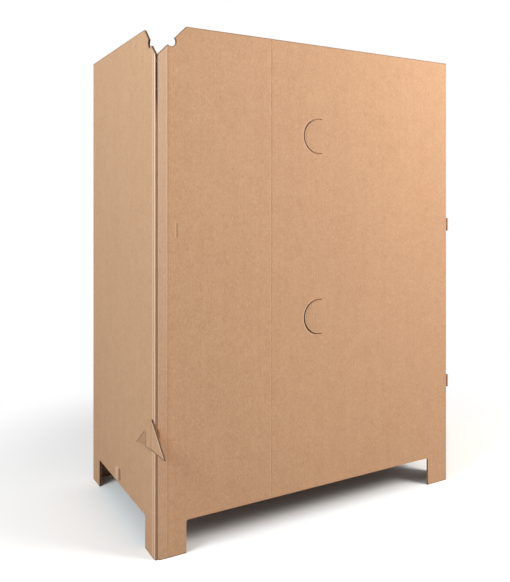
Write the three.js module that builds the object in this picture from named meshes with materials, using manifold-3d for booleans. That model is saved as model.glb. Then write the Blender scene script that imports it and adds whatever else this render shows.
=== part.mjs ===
// Bulk pallet box of folded corrugated board: one wrapped wall sheet standing on four feet,
// a floor tray on a cross rib, and four folded corner posts locked to the walls by tongues.
// Units are millimetres, +Z is up, X runs along the wide front wall, and the front faces -Y.

import * as THREE from 'three';
import { mergeVertices } from 'three/addons/utils/BufferGeometryUtils.js';
import Module from 'manifold-3d';

// Box and board
const WIDTH = 1200;
const DEPTH = 690;
const HEIGHT = 1620;
const BOARD = 7;
const FOLD_RADIUS = 4.5;
const GAP = 0.3;

// Feet
const FOOT_HEIGHT = 102;
const FOOT_WIDTH = 100;
const SIDE_FOOT_WIDTH = 92;
const CUTOUT_RADIUS = 6;

// Closing corner at the near left
const STRIP_WIDTH = 38;
const STRIP_SETBACK = 1.5;
const LIP_CREASE = 23;
const LIP_END = 8;
const LIP_IN = 1.5;
const TUCK_LENGTH = 74;
const TUCK_GAP = 0.5;
const TUCK_TOP_DROP = 110;
const CHAMFER = 100;
const NOTCH_RADIUS = 16;

// Front wall score and half-moon openings
const SCORE_FROM_CORNER = 405;
const SCORE_WIDTH = 3;
const SCORE_DEPTH = 0.9;
const MOON_HEIGHTS = [686, 1307];
const MOON_OFFSET = -5;
const MOON_RADIUS = 61;
const MOON_KERF = 3;
const MOON_CHORD = 12;
const MOON_PUSH_DEG = 4;

// Corner posts
const POST_BOARD = 5;
const POST_FOLD_RADIUS = 3;
const POST_WIDTH = 56;
const POST_DEPTH = 80;
const POST_LAP = 46;
const POST_TOP = 1500;

// Tongues, given by height and by distance from the corner they lock
const TONGUE_BOARD = 5;
const SLIT_LOW = 972;
const SLIT_HIGH = 1016;
const RIGHT_TONGUES = [[362, 409], [970, 1019]];
const LOCK_SLOT = [321, 371];
const LOCK_ROOT = LIP_CREASE;
const LOCK_ROOT_HEIGHTS = [328, 421];
const FIN_REACH = 84;
const FIN_TIP_HEIGHT = 332;
const DEBOSS_TIP = [179, 304];
const DEBOSS_DEPTH = 1;
const CREASE_WIDTH = 2.4;
const CREASE_DEPTH = 0.8;

// Floor tray and cross rib
const FLOOR_TOP = 164;
const TRAY_FLANGE_LOW = 110;
const TRAY_CORNER_X = 62;
const TRAY_CORNER_Y = 52;
const RIB_LOW = 105;
const RIB_FROM_FRONT = 356;
const RIB_TONGUE = [114, 156];
const RIB_TONGUE_LENGTH = 26;
const RIB_TONGUE_TAPER = 4;

const BEND_STEPS = 4;
const ARC_STEPS = 14;
const LEFT = -WIDTH / 2;
const RIGHT = WIDTH / 2;
const FRONT = -DEPTH / 2;
const BACK = DEPTH / 2;
const PAST = 40;
const MERGE_DISTANCE = 0.0001;

const wasm = await Module();
wasm.setup();

// A closed three.js geometry becomes a solid that can be joined and cut.
function solidOf(geometry) {
  const bare = geometry.clone();
  bare.deleteAttribute('normal');
  bare.deleteAttribute('uv');
  const merged = mergeVertices(bare, MERGE_DISTANCE);
  const mesh = new wasm.Mesh({
    numProp: 3,
    vertProperties: new Float32Array(merged.attributes.position.array),
    triVerts: new Uint32Array(merged.index.array),
  });
  return new wasm.Manifold(mesh);
}

function geometryOf(solid) {
  const { vertProperties, triVerts } = solid.getMesh();
  const geometry = new THREE.BufferGeometry();
  geometry.setAttribute('position', new THREE.BufferAttribute(new Float32Array(vertProperties), 3));
  geometry.setIndex(new THREE.BufferAttribute(new Uint32Array(triVerts), 1));
  geometry.computeVertexNormals();
  return geometry;
}

// Box between two corners.
function block(low, high) {
  const size = high.map((value, i) => value - low[i]);
  const geometry = new THREE.BoxGeometry(...size);
  geometry.translate(...high.map((value, i) => (value + low[i]) / 2));
  return solidOf(geometry);
}

// Prism of an outline [x, y], raised along Z between two heights.
function prismZ(outline, low, high) {
  const shape = new THREE.Shape(outline.map(([x, y]) => new THREE.Vector2(x, y)));
  const geometry = new THREE.ExtrudeGeometry(shape, { depth: high - low, bevelEnabled: false });
  geometry.translate(0, 0, low);
  return solidOf(geometry);
}

// Prism of an outline [x, z] that runs along Y, for cuts in the front and back walls.
function prismY(outline, low, high) {
  const shape = new THREE.Shape(outline.map(([x, z]) => new THREE.Vector2(x, z)));
  const geometry = new THREE.ExtrudeGeometry(shape, { depth: high - low, bevelEnabled: false });
  geometry.rotateX(Math.PI / 2);
  geometry.translate(0, high, 0);
  return solidOf(geometry);
}

// Prism of an outline [y, z] that runs along X, for cuts in the side walls.
function prismX(outline, low, high) {
  const shape = new THREE.Shape(outline.map(([y, z]) => new THREE.Vector2(y, z)));
  const geometry = new THREE.ExtrudeGeometry(shape, { depth: high - low, bevelEnabled: false });
  geometry.rotateX(Math.PI / 2);
  geometry.rotateZ(Math.PI / 2);
  geometry.translate(low, 0, 0);
  return solidOf(geometry);
}

// Section of folded board: a centre line with rounded folds, given half a board on each side.
function foldedSection(line, board, radius = FOLD_RADIUS) {
  const points = line.map(([x, y]) => new THREE.Vector2(x, y));
  const path = [{ at: points[0], along: points[1].clone().sub(points[0]).normalize() }];
  for (let i = 1; i < points.length - 1; i += 1) {
    const before = points[i].clone().sub(points[i - 1]).normalize();
    const after = points[i + 1].clone().sub(points[i]).normalize();
    const turn = Math.atan2(before.cross(after), before.dot(after));
    const trim = radius * Math.tan(Math.abs(turn) / 2);
    const start = points[i].clone().addScaledVector(before, -trim);
    const side = new THREE.Vector2(-before.y, before.x).multiplyScalar(Math.sign(turn));
    const centre = start.clone().addScaledVector(side, radius);
    const steps = Math.max(2, Math.round(BEND_STEPS * Math.abs(turn) / (Math.PI / 2)));
    for (let k = 0; k <= steps; k += 1) {
      const angle = turn * k / steps;
      const origin = new THREE.Vector2(0, 0);
      path.push({
        at: start.clone().sub(centre).rotateAround(origin, angle).add(centre),
        along: before.clone().rotateAround(origin, angle),
      });
    }
  }
  const last = points.length - 1;
  path.push({ at: points[last], along: points[last].clone().sub(points[last - 1]).normalize() });
  const offset = (side) => path.map(({ at, along }) => [
    at.x - along.y * side * board / 2,
    at.y + along.x * side * board / 2,
  ]);
  return [...offset(1), ...offset(-1).reverse()];
}

function arcPoints(x, y, radius, from, to, steps) {
  const points = [];
  for (let k = 0; k <= steps; k += 1) {
    const angle = from + (to - from) * k / steps;
    points.push([x + radius * Math.cos(angle), y + radius * Math.sin(angle)]);
  }
  return points;
}

// Fork opening below the walls, with small rounded upper corners.
function cutoutOutline(from, to) {
  const r = CUTOUT_RADIUS;
  const top = FOOT_HEIGHT;
  return [
    [from, -PAST],
    [to, -PAST],
    ...arcPoints(to - r, top - r, r, 0, Math.PI / 2, 3),
    ...arcPoints(from + r, top - r, r, Math.PI / 2, Math.PI, 3),
  ];
}

// Cut that takes off an upper corner at 45 degrees, with a half-round notch in the middle.
// The corner is at `corner`, and the wall runs from it in the direction `way`.
function chamferOutline(corner, way) {
  const middle = [corner + way * CHAMFER / 2, HEIGHT - CHAMFER / 2];
  const slope = Math.atan2(1, way);
  const half = ARC_STEPS / 2;
  const notch = arcPoints(...middle, NOTCH_RADIUS, slope + Math.PI * (way > 0 ? 1 : -1),
    slope + (way > 0 ? 2 : -2) * Math.PI, half);
  return [
    [corner - way * PAST, HEIGHT - CHAMFER - PAST],
    ...notch,
    [corner + way * (CHAMFER + PAST), HEIGHT + PAST],
    [corner - way * PAST, HEIGHT + PAST],
  ];
}

// Inner face of the left wall where its lip leans in, which the tuck flange lies against.
function tuckFace() {
  return LEFT + BOARD + LIP_IN + TUCK_GAP;
}

// Wall sheet in one fold: the left wall with its lip, back, right and front wall, strip and tuck flange.
function wallSheet() {
  const half = BOARD / 2;
  const tuckX = tuckFace() + half;
  const stripEndY = FRONT + half + STRIP_SETBACK;
  const centreLine = [
    [LEFT + half + LIP_IN, FRONT + LIP_END],
    [LEFT + half, FRONT + LIP_CREASE],
    [LEFT + half, BACK - half],
    [RIGHT - half, BACK - half],
    [RIGHT - half, FRONT + half],
    [LEFT + STRIP_WIDTH, FRONT + half],
    [tuckX, stripEndY],
    [tuckX, FRONT + TUCK_LENGTH],
  ];
  let sheet = prismZ(foldedSection(centreLine, BOARD), 0, HEIGHT);

  const frontCut = cutoutOutline(LEFT + FOOT_WIDTH, RIGHT - FOOT_WIDTH);
  const sideCut = cutoutOutline(FRONT + SIDE_FOOT_WIDTH, BACK - SIDE_FOOT_WIDTH);
  sheet = sheet.subtract(prismY(frontCut, FRONT - PAST, BACK + PAST));
  sheet = sheet.subtract(prismX(sideCut, LEFT - PAST, RIGHT + PAST));

  const seam = tuckFace() - TUCK_GAP / 2;
  const tuckEndX = seam + BOARD + TUCK_GAP;
  const tuckFoldY = stripEndY + half + FOLD_RADIUS;
  const tuckEndY = FRONT + TUCK_LENGTH + GAP;
  for (const [low, high] of [[-PAST, FLOOR_TOP + GAP], [HEIGHT - TUCK_TOP_DROP, HEIGHT + PAST]]) {
    sheet = sheet.subtract(block([seam, tuckFoldY, low], [tuckEndX, tuckEndY, high]));
  }

  const frontZone = block([seam, FRONT - PAST, 0], [RIGHT, tuckFoldY + GAP, HEIGHT + 2 * PAST]);
  const frontChamfer = prismY(chamferOutline(LEFT, 1), FRONT - PAST, tuckFoldY + GAP);
  sheet = sheet.subtract(frontChamfer.intersect(frontZone));
  sheet = sheet.subtract(prismX(chamferOutline(FRONT, 1), LEFT - PAST, seam));

  for (const fromCorner of [SCORE_FROM_CORNER, STRIP_WIDTH]) {
    sheet = sheet.subtract(scoreFront(LEFT + fromCorner));
  }
  sheet = sheet.subtract(scoreLeft(FRONT + LIP_CREASE));
  for (const height of MOON_HEIGHTS) {
    sheet = moonFlap(sheet, height);
  }
  return cutTongueSlots(sheet);
}

// Upright scored line in the outer face of the front wall.
function scoreFront(x) {
  return prismZ([
    [x - SCORE_WIDTH / 2, FRONT - PAST],
    [x + SCORE_WIDTH / 2, FRONT - PAST],
    [x + SCORE_WIDTH / 2, FRONT],
    [x, FRONT + SCORE_DEPTH],
    [x - SCORE_WIDTH / 2, FRONT],
  ], -PAST, HEIGHT + PAST);
}

// Upright scored line in the outer face of the left wall.
function scoreLeft(y) {
  return prismZ([
    [LEFT - PAST, y - SCORE_WIDTH / 2],
    [LEFT, y - SCORE_WIDTH / 2],
    [LEFT + SCORE_DEPTH, y],
    [LEFT, y + SCORE_WIDTH / 2],
    [LEFT - PAST, y + SCORE_WIDTH / 2],
  ], -PAST, HEIGHT + PAST);
}

// Half-moon opening: its flap stays on the wall at the right and leans in a little.
function moonFlap(sheet, height) {
  const x = LEFT + WIDTH / 2 + MOON_OFFSET;
  const hinge = x + MOON_CHORD;
  const reach = Math.acos(MOON_CHORD / MOON_RADIUS);
  const hole = arcPoints(x, height, MOON_RADIUS, reach, 2 * Math.PI - reach, ARC_STEPS * 2);
  const inner = MOON_RADIUS - MOON_KERF;
  const innerReach = Math.acos(MOON_CHORD / inner);
  const flapOutline = arcPoints(0, 0, inner, innerReach, 2 * Math.PI - innerReach, ARC_STEPS * 2)
    .map(([px, pz]) => [px - MOON_CHORD, pz]);
  const flap = prismY(flapOutline, 0, BOARD)
    .rotate([0, 0, -MOON_PUSH_DEG])
    .translate([hinge + BOARD * Math.tan(MOON_PUSH_DEG * Math.PI / 180), FRONT, height]);
  return sheet.subtract(prismY(hole, FRONT - PAST, FRONT + BOARD + PAST)).add(flap);
}

function cutTongueSlots(sheet) {
  const slit = POST_BOARD / 2 + GAP;
  const slots = [];
  for (const [sideX, sideY] of [[1, 1], [1, -1], [-1, -1]]) {
    const x = slitPanelX(sideX, sideY);
    const outer = sideY * (FRONT - PAST);
    const inner = sideY * (FRONT + BOARD + GAP);
    slots.push(block([x - slit, Math.min(outer, inner), SLIT_LOW - GAP],
      [x + slit, Math.max(outer, inner), SLIT_HIGH + GAP]));
  }
  const lockY = rearPanelY(1);
  slots.push(block([LEFT - PAST, lockY - slit, LOCK_SLOT[0] - GAP],
    [tuckFace() - TUCK_GAP / 2, lockY + slit, LOCK_SLOT[1] + GAP]));
  const rightY = rearPanelY(-1);
  for (const [low, high] of RIGHT_TONGUES) {
    slots.push(block([RIGHT - BOARD - GAP, rightY - slit, low - GAP], [RIGHT + PAST, rightY + slit, high + GAP]));
  }
  const ribY = FRONT + RIB_FROM_FRONT;
  const ribHalf = BOARD / 2 + GAP;
  for (const [from, to] of [[LEFT - PAST, LEFT + BOARD + GAP], [RIGHT - BOARD - GAP, RIGHT + PAST]]) {
    slots.push(block([from, ribY - ribHalf, RIB_TONGUE[0] - GAP], [to, ribY + ribHalf, RIB_TONGUE[1] + GAP]));
  }
  const debossStart = lockY + slit + 2 * GAP;
  slots.push(prismX([
    [debossStart, LOCK_SLOT[0]],
    [FRONT + DEBOSS_TIP[0], DEBOSS_TIP[1]],
    [debossStart, LOCK_SLOT[1]],
  ], LEFT - PAST, LEFT + DEBOSS_DEPTH));
  for (const slot of slots) {
    sheet = sheet.subtract(slot);
  }
  return sheet;
}

// Outer corner of a post, just inside the walls or, at the closing corner, inside the tuck flange.
// sideX is 1 at the left wall and -1 at the right; sideY is 1 at the front and -1 at the back.
function postCorner(sideX, sideY) {
  if (sideX === 1 && sideY === 1) {
    return [tuckFace() + BOARD + TUCK_GAP, FRONT + BOARD + STRIP_SETBACK + GAP];
  }
  return [sideX * (LEFT + BOARD + GAP), sideY * (FRONT + BOARD + GAP)];
}

// Middle of the post panel that faces the inside of the box, and of the one at the rear of a front post.
function slitPanelX(sideX, sideY) {
  return postCorner(sideX, sideY)[0] + sideX * (POST_WIDTH - POST_BOARD / 2);
}

function rearPanelY(sideX) {
  return postCorner(sideX, 1)[1] + POST_DEPTH - POST_BOARD / 2;
}

// Corner post folded into a closed tube, with its last panel lapped inside the first.
function postTube(sideX, sideY) {
  const half = POST_BOARD / 2;
  const lapX = POST_BOARD + half + GAP;
  const line = [
    [lapX, half + POST_LAP],
    [lapX, half],
    [POST_WIDTH - half, half],
    [POST_WIDTH - half, POST_DEPTH - half],
    [half, POST_DEPTH - half],
    [half, GAP],
  ];
  const [cornerX, cornerY] = postCorner(sideX, sideY);
  const placed = line.map(([x, y]) => [cornerX + sideX * x, cornerY + sideY * y]);
  return prismZ(foldedSection(placed, POST_BOARD, POST_FOLD_RADIUS), FLOOR_TOP + GAP, POST_TOP);
}

// Straight tongue that keeps the plane of a post's side panel and fills the slit in the wall.
function slitTongue(sideX, sideY) {
  const x = slitPanelX(sideX, sideY);
  const half = POST_BOARD / 2;
  const inner = postCorner(sideX, sideY)[1] + sideY * (POST_BOARD + POST_FOLD_RADIUS);
  const outer = sideY * (FRONT + GAP);
  return block([x - half, Math.min(inner, outer), SLIT_LOW], [x + half, Math.max(inner, outer), SLIT_HIGH]);
}

// Tongue from a front post's rear panel, out through a side wall and folded forward on it.
function foldedTongue(sideX, low, high, outline) {
  const y = rearPanelY(sideX);
  const half = POST_BOARD / 2;
  const face = sideX * (LEFT - GAP);
  const outside = sideX * (LEFT - GAP - TONGUE_BOARD);
  const inner = postCorner(sideX, 1)[0] + sideX * (POST_BOARD + POST_FOLD_RADIUS);
  const stem = block([Math.min(inner, outside), y - half, low], [Math.max(inner, outside), y + half, high]);
  const leaf = prismX(outline, Math.min(face, outside), Math.max(face, outside));
  return stem.add(leaf);
}

// Post of the closing corner, with the pointed lock tongue and the tongue in the front slit.
function frontLeftPost() {
  const rear = rearPanelY(1) + POST_BOARD / 2;
  const root = FRONT + LOCK_ROOT;
  const arrow = [
    [rear, LOCK_SLOT[0]],
    [rear, LOCK_SLOT[1]],
    [root, LOCK_ROOT_HEIGHTS[1]],
    [FRONT - FIN_REACH, FIN_TIP_HEIGHT],
    [root, LOCK_ROOT_HEIGHTS[0]],
  ];
  const outer = LEFT - GAP - TONGUE_BOARD;
  const crease = prismZ([
    [outer - PAST, root - CREASE_WIDTH / 2],
    [outer, root - CREASE_WIDTH / 2],
    [outer + CREASE_DEPTH, root],
    [outer, root + CREASE_WIDTH / 2],
    [outer - PAST, root + CREASE_WIDTH / 2],
  ], 0, HEIGHT);
  return postTube(1, 1)
    .add(slitTongue(1, 1))
    .add(foldedTongue(1, ...LOCK_SLOT, arrow))
    .subtract(crease);
}

// Post of the right front corner, with two straight tongues folded forward on the right wall.
function frontRightPost() {
  const rear = rearPanelY(-1) + POST_BOARD / 2;
  let post = postTube(-1, 1);
  for (const [low, high] of RIGHT_TONGUES) {
    const strap = [[rear, low], [rear, high], [FRONT - 2 * GAP, high], [FRONT - 2 * GAP, low]];
    post = post.add(foldedTongue(-1, low, high, strap));
  }
  return post;
}

// Floor tray: a panel with four flanges folded down, which lie against the walls.
function floorTray() {
  const reachX = RIGHT - BOARD - GAP;
  const reachY = BACK - BOARD - GAP;
  const middle = FLOOR_TOP - BOARD / 2;
  const inX = reachX - BOARD / 2;
  const inY = reachY - BOARD / 2;
  const acrossX = foldedSection([[-inX, TRAY_FLANGE_LOW], [-inX, middle], [inX, middle], [inX, TRAY_FLANGE_LOW]], BOARD);
  const acrossY = foldedSection([[-inY, TRAY_FLANGE_LOW], [-inY, middle], [inY, middle], [inY, TRAY_FLANGE_LOW]], BOARD);
  const endX = RIGHT - TRAY_CORNER_X;
  const endY = BACK - TRAY_CORNER_Y;
  const edge = BOARD + FOLD_RADIUS;
  let tray = prismY(acrossX, -endY, endY).add(prismX(acrossY, -endX, endX));
  tray = tray.add(block([-reachX + edge, -reachY + edge, FLOOR_TOP - BOARD], [reachX - edge, reachY - edge, FLOOR_TOP]));
  const ribY = FRONT + RIB_FROM_FRONT;
  const ribHalf = BOARD / 2 + GAP;
  for (const side of [-1, 1]) {
    const a = side * (reachX + GAP);
    const b = side * (reachX - BOARD - GAP);
    tray = tray.subtract(block([Math.min(a, b), ribY - ribHalf, 0], [Math.max(a, b), ribY + ribHalf, RIB_TONGUE[1] + GAP]));
  }
  return tray;
}

// Cross rib under the floor, with an end tongue through each side wall, folded back on it.
function crossRib() {
  const y = FRONT + RIB_FROM_FRONT;
  const half = BOARD / 2;
  const innerX = RIGHT - 2 * BOARD - 3 * GAP;
  const outX = RIGHT + GAP;
  let rib = block([-innerX, y - half, RIB_LOW], [innerX, y + half, FLOOR_TOP - BOARD - GAP]);
  rib = rib.add(block([-outX - TONGUE_BOARD, y - half, RIB_TONGUE[0]], [outX + TONGUE_BOARD, y + half, RIB_TONGUE[1]]));
  const [low, high] = RIB_TONGUE;
  const tip = y + RIB_TONGUE_LENGTH;
  const leaf = [[y - half, low], [tip, low + RIB_TONGUE_TAPER], [tip, high - RIB_TONGUE_TAPER], [y - half, high]];
  rib = rib.add(prismX(leaf, outX, outX + TONGUE_BOARD));
  return rib.add(prismX(leaf, -outX - TONGUE_BOARD, -outX));
}

const kraft = new THREE.Color().setRGB(0.72, 0.53, 0.37, THREE.SRGBColorSpace);
const kraftInside = new THREE.Color().setRGB(0.66, 0.48, 0.33, THREE.SRGBColorSpace);

function boardMesh(name, solid, color) {
  const material = new THREE.MeshStandardMaterial({ color, roughness: 0.9, metalness: 0 });
  const mesh = new THREE.Mesh(geometryOf(solid), material);
  mesh.name = name;
  return mesh;
}

const box = new THREE.Group();
box.add(boardMesh('wall_sheet', wallSheet(), kraft));
box.add(boardMesh('floor_tray', floorTray(), kraftInside));
box.add(boardMesh('cross_rib', crossRib(), kraftInside));
box.add(boardMesh('post_front_left', frontLeftPost(), kraftInside));
box.add(boardMesh('post_front_right', frontRightPost(), kraftInside));
box.add(boardMesh('post_rear_left', postTube(1, -1).add(slitTongue(1, -1)), kraftInside));
box.add(boardMesh('post_rear_right', postTube(-1, -1).add(slitTongue(-1, -1)), kraftInside));

// The origin lies under the middle of everything, with the lock fin that reaches past the front.
box.position.set(0, FIN_REACH / 2, 0);

export default box;
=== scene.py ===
"""Looks of a bulk pallet box of folded corrugated board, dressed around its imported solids."""

from __future__ import annotations

import logging
import math
from dataclasses import dataclass, replace
from enum import Enum

import bmesh
import bpy
from bpy.types import Material, NodeSocket, NodeTree, Object
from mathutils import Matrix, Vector

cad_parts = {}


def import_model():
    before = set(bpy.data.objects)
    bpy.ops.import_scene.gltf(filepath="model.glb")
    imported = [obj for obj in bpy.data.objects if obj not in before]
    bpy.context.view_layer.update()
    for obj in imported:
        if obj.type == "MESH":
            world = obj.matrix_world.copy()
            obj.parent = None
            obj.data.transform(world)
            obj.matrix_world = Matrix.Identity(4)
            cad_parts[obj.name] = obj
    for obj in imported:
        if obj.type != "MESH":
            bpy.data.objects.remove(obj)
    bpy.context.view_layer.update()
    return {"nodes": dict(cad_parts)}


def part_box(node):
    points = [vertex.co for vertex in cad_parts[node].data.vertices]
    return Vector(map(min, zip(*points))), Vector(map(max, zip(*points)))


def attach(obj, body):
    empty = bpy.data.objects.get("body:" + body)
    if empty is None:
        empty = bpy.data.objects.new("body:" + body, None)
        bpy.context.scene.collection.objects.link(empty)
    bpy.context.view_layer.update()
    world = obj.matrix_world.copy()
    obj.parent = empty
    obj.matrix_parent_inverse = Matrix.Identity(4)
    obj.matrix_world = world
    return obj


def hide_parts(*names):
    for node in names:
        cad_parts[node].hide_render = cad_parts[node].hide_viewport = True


LOG = logging.getLogger("bulk_pallet_box")
MM = 0.001
Tone = tuple[float, float, float]

# Distance along a wall from the closing corner, and height.
Spot = tuple[float, float]

# A face belongs to a wall where its normal points at least this far along the wall's axis.
FACING = 0.7

# Tones in sRGB, from 0 to 255. The flecks are the board's own; the others are painted highlights,
# painted light and painted shade.
# Painted highlight along the crease and raw edge of the left wall's lip.
LIP_HIGHLIGHT = (250, 220, 192)
# Painted light on the strip at the closing corner, brighter towards the top.
STRIP_PAINTED_LIGHT = (238, 204, 180)
# Painted highlight beside the front wall's score and along the strip's fold.
CREASE_HIGHLIGHT = (232, 194, 162)
# Painted highlight in rings beside the half-moons' cuts.
MOON_HIGHLIGHT = (244, 208, 178)
PALE_FLECK = (234, 200, 170)
DARK_FLECK = (142, 100, 70)
CREASE_SHADE = (150, 106, 76)
HOLLOW_SHADE = (150, 106, 78)
EDGE_SHADE = (118, 82, 58)
SLOT_SHADE = (112, 76, 52)
CUT_SHADE = (56, 22, 6)
GLINT = (238, 206, 180)

# Distances from a cut edge at which the shading beside it starts and is full.
RIM_BORDER = (3.4 * MM, 1.6 * MM)
FOOT_BORDER = (4.0 * MM, 2.0 * MM)
SLANT_BORDER = (3.6 * MM, 1.8 * MM)

# Heights between which the strip's painted light rises to its strength at the rim. The creases'
# painted highlights and shade end their rise there too.
TOP_RISE_START = 0.2
TOP_RISE_END = 1.5

# Heights between which the raw edge turns from dark to brown.
CORE_FADE = (1.42, 1.3)

# Shares of the painted shade and painted highlights of the lower and the upper half-moon.
MOON_SHARES = (1.0, 0.75)


class FluteKind(Enum):
    """How a cut meets the flutes: across them, along them, or along them and pressed flat."""

    OPEN = "open"
    CLOSED = "closed"
    PRESSED = "pressed"


@dataclass(frozen=True)
class BoxSizes:
    """Sizes of the box that the dressing lines up with, in metres.

    Attributes:
        board: thickness of the board.
        fold_radius: radius of the middle of the board at a fold.
        foot_height: height of the feet.
        foot_width: their width on the front and back wall.
        side_foot_width: their width on the side walls.
        cutout_radius: inner corners of the fork openings.
        strip_width: width of the strip at the closing corner.
        strip_setback: how far the strip lies behind the front wall's face.
        lip_crease: crease of the left wall's lip, from the closing corner.
        lip_end: raw edge of the lip, from the same corner.
        lip_in: how far the lip leans in.
        tuck_gap: gap between the lip and the tuck flange.
        chamfer: sides of the chamfers.
        notch_radius: radius of their notches.
        score_from_corner: score of the front wall, from the closing corner.
        pressed_width: width of the pressed core at the raw edge.
        moon_heights: middles of the half-moons.
        moon_offset: their distance from the middle of the front wall.
        moon_radius: outer radius of their cuts.
        moon_kerf: width of their cuts.
        slit: slit of the front wall, from the closing corner.
    """

    board: float = 7 * MM
    fold_radius: float = 4.5 * MM
    foot_height: float = 102 * MM
    foot_width: float = 100 * MM
    side_foot_width: float = 92 * MM
    cutout_radius: float = 6 * MM
    strip_width: float = 38 * MM
    strip_setback: float = 1.5 * MM
    lip_crease: float = 23 * MM
    lip_end: float = 8 * MM
    lip_in: float = 1.5 * MM
    tuck_gap: float = 0.5 * MM
    chamfer: float = 100 * MM
    notch_radius: float = 16 * MM
    score_from_corner: float = 405 * MM
    pressed_width: float = 4.0 * MM
    moon_heights: tuple[float, float] = (686 * MM, 1307 * MM)
    moon_offset: float = -5 * MM
    moon_radius: float = 61 * MM
    moon_kerf: float = 3 * MM
    slit: float = 70 * MM

    @property
    def left(self) -> float:
        """X of the left wall's outer face."""
        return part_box("wall_sheet")[0][0]

    @property
    def right(self) -> float:
        """X of the right wall's outer face."""
        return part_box("wall_sheet")[1][0]

    @property
    def front(self) -> float:
        """Y of the front wall's outer face."""
        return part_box("wall_sheet")[0][1]

    @property
    def back(self) -> float:
        """Y of the back wall's outer face."""
        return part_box("wall_sheet")[1][1]

    @property
    def height(self) -> float:
        """Height of the rim."""
        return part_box("wall_sheet")[1][2]

    def lean(self, run: float) -> float:
        """How far the left wall's lip leans in, by the distance from the closing corner."""
        share = (self.lip_crease - run) / (self.lip_crease - self.lip_end)
        return self.lip_in * min(max(share, 0.0), 1.0)


@dataclass(frozen=True)
class Link:
    """A shader socket that takes part in Python arithmetic, adding a Math node each time."""

    tree: NodeTree
    socket: NodeSocket

    def _math(self, operation: str, first: object, second: object | None = None) -> Link:
        """Adds a Math node that takes one or two Links or numbers."""
        values = {0: first} if second is None else {0: first, 1: second}
        return node(self.tree, "ShaderNodeMath", {"operation": operation}, values)[0]

    def __add__(self, other: object) -> Link:
        """Sum."""
        return self._math("ADD", self, other)

    def __sub__(self, other: object) -> Link:
        """Difference."""
        return self._math("SUBTRACT", self, other)

    def __rsub__(self, other: object) -> Link:
        """Difference, reflected."""
        return self._math("SUBTRACT", other, self)

    def __mul__(self, other: object) -> Link:
        """Product."""
        return self._math("MULTIPLY", self, other)

    def __truediv__(self, other: object) -> Link:
        """Quotient."""
        return self._math("DIVIDE", self, other)

    def above(self, level: float) -> Link:
        """1 where the value is greater than level, else 0."""
        return self._math("GREATER_THAN", self, level)

    def below(self, level: float) -> Link:
        """1 where the value is less than level, else 0."""
        return self._math("LESS_THAN", self, level)

    def near(self, place: float, full: float, none: float) -> Link:
        """Soft band around one value.

        Args:
            place: the middle of the band.
            full: distance from the middle up to which the band is 1.
            none: distance from which it is 0.

        Returns:
            The band, between 0 and 1.
        """
        return (self - place).absolute().eased(none, full)

    def within(self, half_width: float, softness: float) -> Link:
        """1 for a distance under half_width, fading over a share of it on either side."""
        return self.eased(half_width * (1 + softness), half_width * (1 - softness))

    def larger(self, other: Link) -> Link:
        """The larger of two values."""
        return self._math("MAXIMUM", self, other)

    def limited(self) -> Link:
        """The value kept between 0 and 1."""
        return node(self.tree, "ShaderNodeClamp", {}, {"Value": self})[0]

    def absolute(self) -> Link:
        """Absolute value."""
        return self._math("ABSOLUTE", self)

    def sine(self) -> Link:
        """Sine."""
        return self._math("SINE", self)

    def power(self, exponent: float) -> Link:
        """Power."""
        return self._math("POWER", self, exponent)

    def eased(self, low: float, high: float) -> Link:
        """Smooth step, rising or falling.

        Args:
            low: the value that gives 0, which may be the greater one.
            high: the value that gives 1.

        Returns:
            The eased value, kept between 0 and 1.
        """
        settings = {"interpolation_type": "SMOOTHSTEP"}
        values = {"Value": self, "From Min": low, "From Max": high}
        return node(self.tree, "ShaderNodeMapRange", settings, values)[0]


def node(
    tree: NodeTree, kind: str, settings: dict[str, object], values: dict[object, object]
) -> list[Link]:
    """Adds a node of any kind.

    Args:
        tree: the tree that gets the node.
        kind: the node's type.
        settings: its properties, set first. A ramp's stops are given as "stops".
        values: numbers, colours or Links for its inputs, by name or by place.

    Returns:
        The node's outputs that are in use.
    """
    made = tree.nodes.new(kind)
    for name, value in settings.items():
        if name == "stops":
            ramp = made.color_ramp
            while len(ramp.elements) < len(value):
                ramp.elements.new(1.0)
            for element, (place, color) in zip(ramp.elements, value):
                element.position = place
                element.color = color
        else:
            setattr(made, name, value)
    for name, value in values.items():
        target = made.inputs[name]
        if isinstance(value, Link):
            tree.links.new(value.socket, target)
        else:
            target.default_value = value
    return [Link(tree, out) for out in made.outputs if out.enabled]


def mixed(tree: NodeTree, factor: object, first: object, second: object) -> Link:
    """Mixes two colours or Links by the share of the second."""
    settings = {"data_type": "RGBA", "clamp_factor": True}
    return node(tree, "ShaderNodeMix", settings, {0: factor, 6: first, 7: second})[0]


def linear(red: float, green: float, blue: float) -> tuple[float, float, float, float]:
    """Turns an sRGB colour of 0 to 255 into Blender's linear colour."""
    shares = [value / 255 for value in (red, green, blue)]
    flat = [s / 12.92 if s <= 0.04045 else ((s + 0.055) / 1.055) ** 2.4 for s in shares]
    return (flat[0], flat[1], flat[2], 1.0)


@dataclass(frozen=True)
class Surface:
    """Where a point of a material lies on the box, and which way it faces."""

    tree: NodeTree
    x: Link
    y: Link
    z: Link
    upright: Link
    along: Link
    on_front: Link
    on_left: Link

    @classmethod
    def read(cls, tree: NodeTree) -> Surface:
        """Adds the nodes that read the place and the normal."""
        place = node(tree, "ShaderNodeTexCoord", {}, {})[3]
        x, y, z = node(tree, "ShaderNodeSeparateXYZ", {}, {"Vector": place})
        normal = node(tree, "ShaderNodeNewGeometry", {}, {})[1]
        nx, ny, nz = node(tree, "ShaderNodeSeparateXYZ", {}, {"Vector": normal})
        side = nx.absolute().above(FACING)
        along = x * (1 - side) + y * side
        return cls(tree, x, y, z, nz, along, ny.below(-FACING), nx.below(-FACING))

    def toned(self, share: Link, color: Link, tone: Tone) -> Link:
        """Lays a share of a tone over a colour."""
        return mixed(self.tree, share, color, linear(*tone))


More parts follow.
